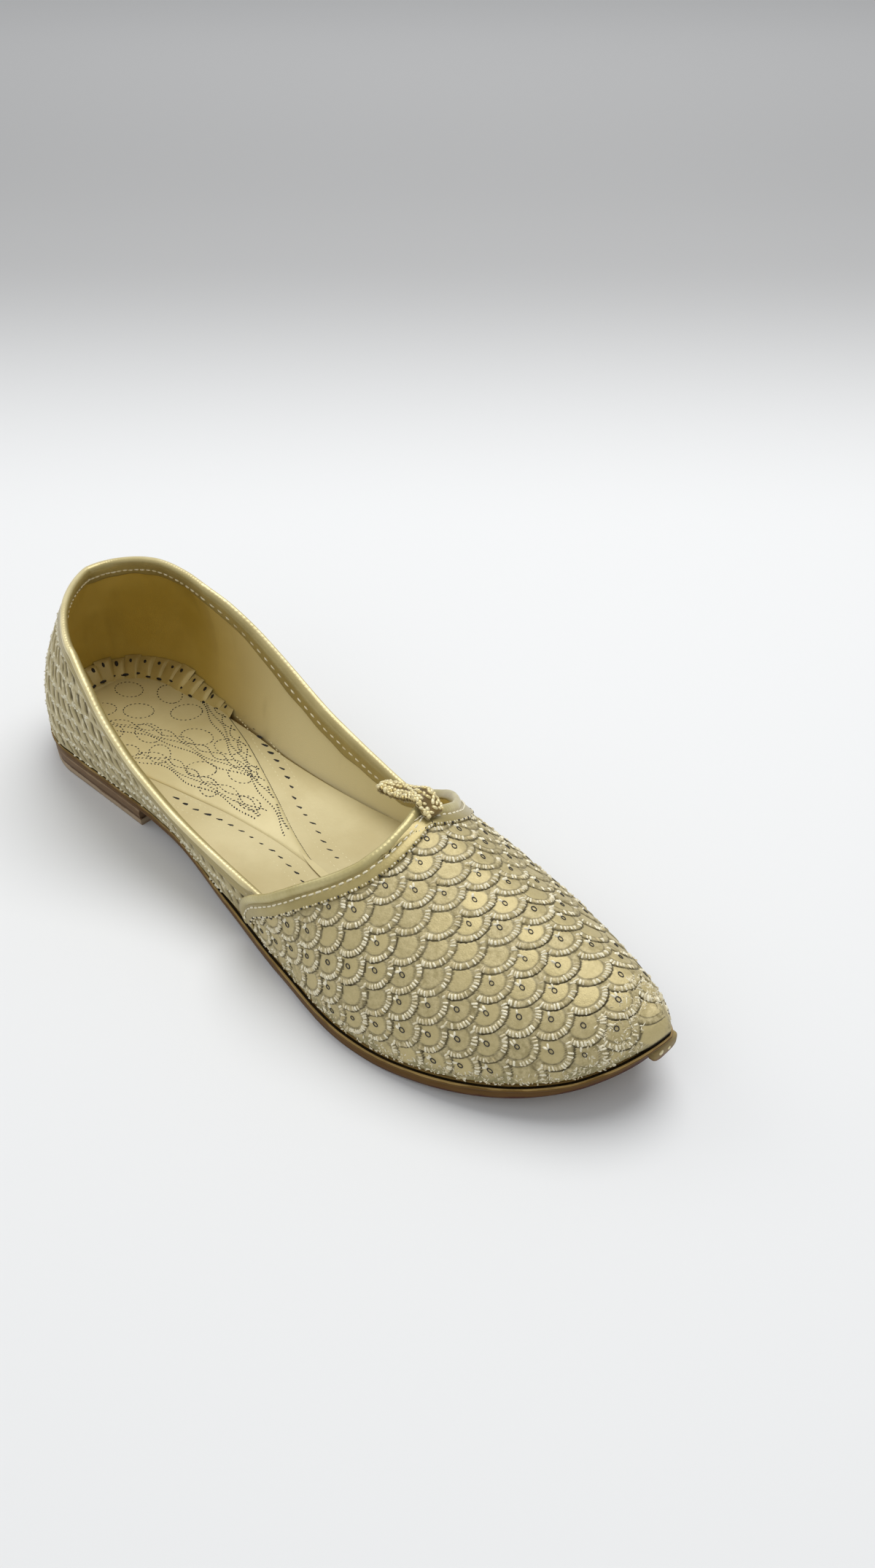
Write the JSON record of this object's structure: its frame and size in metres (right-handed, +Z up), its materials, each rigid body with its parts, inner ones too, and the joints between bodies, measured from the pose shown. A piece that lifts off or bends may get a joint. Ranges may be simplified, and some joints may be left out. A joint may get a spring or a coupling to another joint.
{
  "type": "mojari shoe",
  "caption": "Low pointed slip-on shoe with a hollow brocade upper, rolled collar binding, throat band with a tab, stitched insole, thin layered sole and low stacked heel.",
  "frame": {"origin": "on the floor, in the middle of the heel's underside across and along the heel", "axes": "+X from heel to toe, +Y to the medial side of this right shoe, +Z up"},
  "size_m": [0.2796, 0.0915, 0.0699],
  "materials": {
    "brocade": "champagne gold brocade with raised scallops and metallic thread",
    "foil_leather": "gold foiled leather, satin with a bright rolled edge",
    "gold_thread": "knotted gold braid",
    "insole_leather": "pale gold foiled leather, smooth satin",
    "sole_edge": "light leather edge, waxed",
    "sole_leather": "golden brown waxed leather edge",
    "heel_leather": "taupe brown stacked leather"
  },
  "bodies": {
    "root": {"heel_top_lift": "heel_leather", "heel_block": "heel_leather", "outsole": "sole_leather", "midsole": "sole_edge", "insole": "insole_leather", "insole_sock": "insole_leather", "upper": "brocade", "collar_binding": "foil_leather", "throat_band": "foil_leather", "tongue_tab": "gold_thread", "toe_nose": "foil_leather"}
  },
  "joints": []
}
